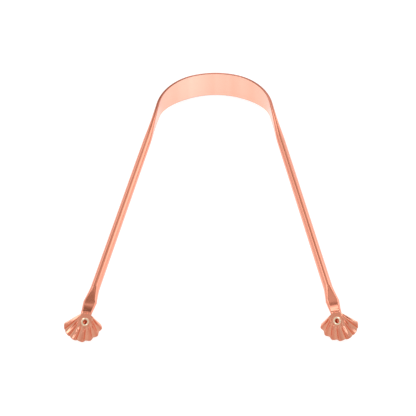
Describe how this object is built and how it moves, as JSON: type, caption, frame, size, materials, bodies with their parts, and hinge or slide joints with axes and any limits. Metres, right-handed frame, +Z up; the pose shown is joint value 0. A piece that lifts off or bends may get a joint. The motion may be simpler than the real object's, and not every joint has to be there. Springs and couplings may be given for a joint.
{
  "type": "tongue scraper",
  "caption": "Copper tongue scraper: a wire bow with a flat scraping band at its arch, splayed round arms and a fluted shell finger rest riveted to each end.",
  "frame": {"origin": "under the middle of the whole outline, on the surface that the scraper lies on", "axes": "+Z up from that surface, +Y towards the closed end of the bow, +X to the right seen from the open end; the arms open towards -Y"},
  "size_m": [0.0796, 0.122, 0.0086],
  "materials": {
    "wire_copper": "polished copper wire, rolled flat in the middle",
    "sheet_copper": "polished stamped copper sheet",
    "rivet_copper": "bright polished rolled copper ring"
  },
  "bodies": {
    "root": {"scraper_bow": "wire_copper", "left_shell": "sheet_copper", "right_shell": "sheet_copper", "left_rivet": "rivet_copper", "right_rivet": "rivet_copper"}
  },
  "joints": []
}
